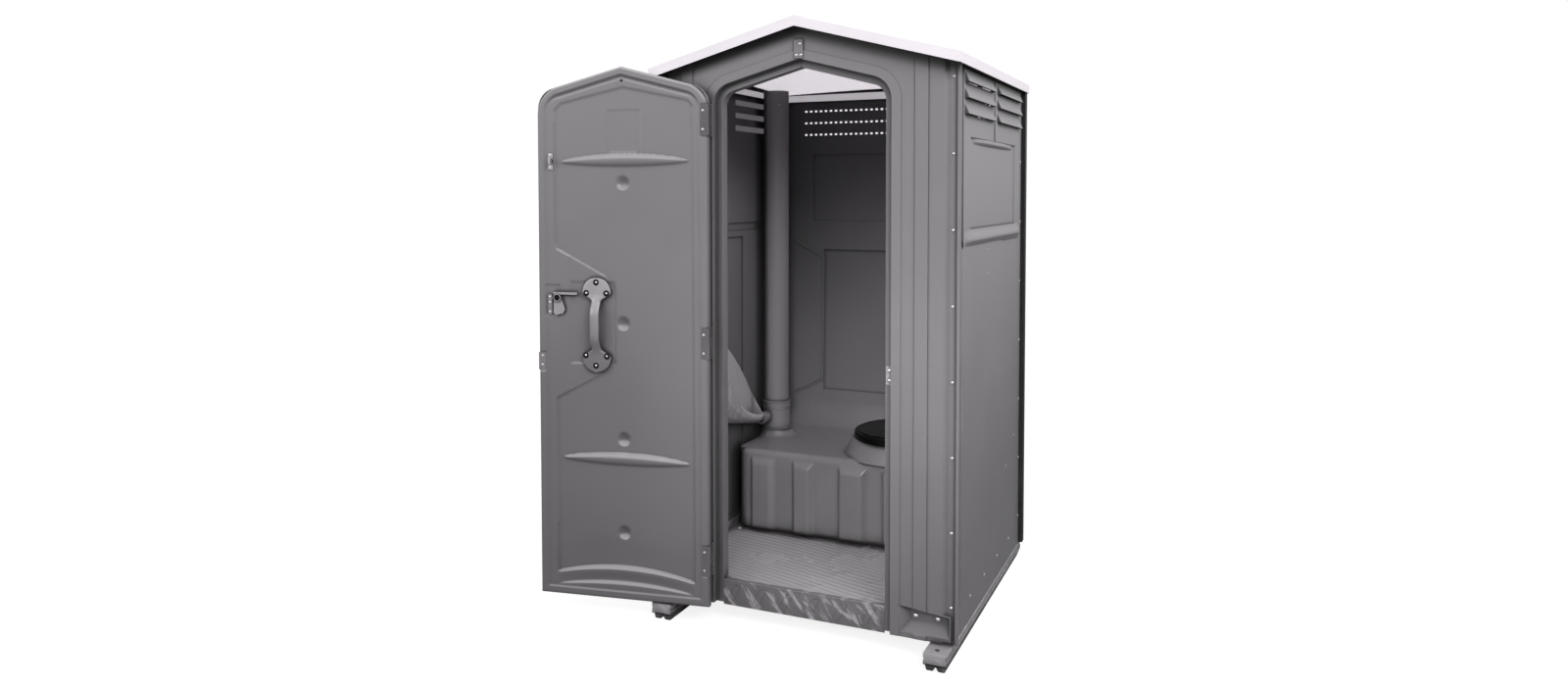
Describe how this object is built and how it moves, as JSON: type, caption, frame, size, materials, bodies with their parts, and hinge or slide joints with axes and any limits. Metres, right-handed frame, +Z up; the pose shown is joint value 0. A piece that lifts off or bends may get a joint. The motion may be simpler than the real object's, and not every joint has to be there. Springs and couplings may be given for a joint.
{
  "type": "portable toilet cabin",
  "caption": "Free-standing moulded toilet cabin on two skids, gabled doorway with a hung door, translucent roof, waste tank with seat, urinal and vent pipe.",
  "frame": {"origin": "on the ground under the middle of the cabin's floor, between the skids' anchor holes", "axes": "+X to the right seen from the front, +Y to the rear, +Z up; the door faces -Y and stands open"},
  "size_m": [1.5307, 1.3688, 2.197],
  "materials": {
    "grey_plastic": "matte grained",
    "black_plastic": "satin",
    "skid_plastic": "weathered",
    "translucent_roof": "translucent",
    "zinc_steel": "zinc plated",
    "rubber_seal": "matte",
    "paper": "soft"
  },
  "bodies": {
    "cabin": {"floor_bolts": "zinc_steel", "floor_pan": "grey_plastic", "foot_bolts": "zinc_steel", "front_left_panel": "grey_plastic", "front_right_panel": "grey_plastic", "front_rivets": "zinc_steel", "gable_joint_plate": "zinc_steel", "hinge_bottom_frame_leaf": "zinc_steel", "hinge_bottom_pin": "zinc_steel", "hinge_middle_frame_leaf": "zinc_steel", "hinge_middle_pin": "zinc_steel", "hinge_screws_frame": "zinc_steel", "hinge_top_frame_leaf": "zinc_steel", "hinge_top_pin": "zinc_steel", "jamb_strike_plate": "zinc_steel", "left_wall": "grey_plastic", "paper_holder": "grey_plastic", "paper_holder_screws": "zinc_steel", "paper_spindle": "black_plastic", "pipe_collar": "grey_plastic", "pipe_grommet": "rubber_seal", "pipe_screw": "zinc_steel", "pipe_tee": "grey_plastic", "rear_corner_trim_left": "black_plastic", "rear_corner_trim_right": "black_plastic", "rear_wall": "grey_plastic", "right_wall": "grey_plastic", "roof": "translucent_roof", "seat_hinge_brackets": "grey_plastic", "seat_hinge_pin": "zinc_steel", "side_rivets": "zinc_steel", "sill_apron": "grey_plastic", "skid_left": "skid_plastic", "skid_right": "skid_plastic", "strike_screws": "zinc_steel", "tank_screws": "zinc_steel", "urinal_bowl": "grey_plastic", "urinal_drain": "grey_plastic", "urinal_screws": "zinc_steel", "vent_pipe": "grey_plastic", "waste_tank": "grey_plastic"},
    "door": {"door_edge_plate": "zinc_steel", "door_fitting_screws": "zinc_steel", "door_inner_skin": "grey_plastic", "door_outer_skin": "grey_plastic", "hinge_bottom_door_leaf": "zinc_steel", "hinge_middle_door_leaf": "zinc_steel", "hinge_top_door_leaf": "zinc_steel", "pull_handle": "grey_plastic", "latch_plate": "zinc_steel", "coat_hook": "zinc_steel", "handle_screws": "zinc_steel", "hinge_screws_door": "zinc_steel"},
    "latch_lever": {"latch_lever": "black_plastic", "latch_spindle": "zinc_steel", "outside_turn_knob": "black_plastic"},
    "latch_bolt": {"latch_bolt": "zinc_steel"},
    "seat_lid": {"seat_lid": "black_plastic"},
    "seat_ring": {"seat_ring": "black_plastic"},
    "paper_roll": {"paper_roll": "paper"}
  },
  "joints": [
    {"name": "door_swing", "type": "hinge", "parent": "cabin", "child": "door", "pos_m": [-0.327, -0.595, 0], "axis": [0, 0, 1], "range_deg": [-4, 169.1]},
    {"name": "latch_turn", "type": "hinge", "parent": "door", "child": "latch_lever", "pos_m": [-0.88494, -0.7279, 1.164], "axis": [0.1891, -0.982, 0], "range_deg": [0, 60]},
    {"name": "bolt_slide", "type": "slide", "parent": "door", "child": "latch_bolt", "axis": [-0.982, -0.1891, 0], "range_m": [0, 0.027]},
    {"name": "seat_lid_tilt", "type": "hinge", "parent": "cabin", "child": "seat_lid", "pos_m": [0.125, 0.432, 0.56], "axis": [-1, 0, 0], "range_deg": [0, 100]},
    {"name": "seat_ring_tilt", "type": "hinge", "parent": "cabin", "child": "seat_ring", "pos_m": [0.125, 0.432, 0.56], "axis": [-1, 0, 0], "range_deg": [0, 96]},
    {"name": "paper_roll_spin", "type": "hinge", "parent": "cabin", "child": "paper_roll", "pos_m": [0.471, -0.099, 1.27], "axis": [0, 1, 0], "continuous": true}
  ],
  "couplings": [
    {"joint": "latch_turn", "follows": "bolt_slide", "rad_per_m": 38.785},
    {"joint": "seat_ring_tilt", "follows": "seat_lid_tilt", "ratio": 0.95}
  ]
}
